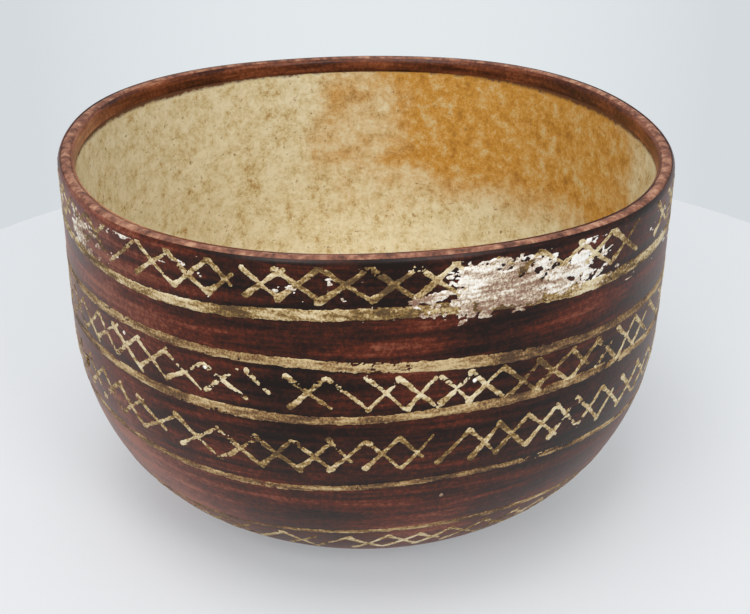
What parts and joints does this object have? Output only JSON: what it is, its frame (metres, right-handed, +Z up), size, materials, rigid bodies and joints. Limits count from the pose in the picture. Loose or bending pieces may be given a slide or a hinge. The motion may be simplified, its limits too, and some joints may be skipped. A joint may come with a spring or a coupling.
{
  "type": "painted pottery bowl",
  "caption": "Deep round-bottomed pottery bowl with a small flat resting face, red slip outside, cream slip inside, and painted lines and lattices round the wall.",
  "frame": {"origin": "middle of the flat resting face, at the bottom centre of the bowl", "axes": "+Z up through the middle of the mouth; -Y is the side that the picture shows"},
  "size_m": [0.2222, 0.2222, 0.1382],
  "materials": {
    "fired_clay": "worn fired clay, matt",
    "red_slip": "iron-red slip, burnished",
    "rim_slip": "iron-red slip, burnished",
    "cream_slip": "cream slip, smoothed and stained",
    "cream_paint": "cream slip paint, worn"
  },
  "bodies": {
    "root": {"clay_body": "fired_clay", "exterior_red_slip": "red_slip", "rim_red_band": "rim_slip", "interior_cream_slip": "cream_slip", "painted_lattice_1": "cream_paint", "painted_line_1": "cream_paint", "painted_line_2": "cream_paint", "painted_lattice_2": "cream_paint", "painted_line_3": "cream_paint", "painted_lattice_3": "cream_paint", "painted_line_4": "cream_paint", "painted_line_5": "cream_paint", "painted_lattice_4": "cream_paint"}
  },
  "joints": []
}
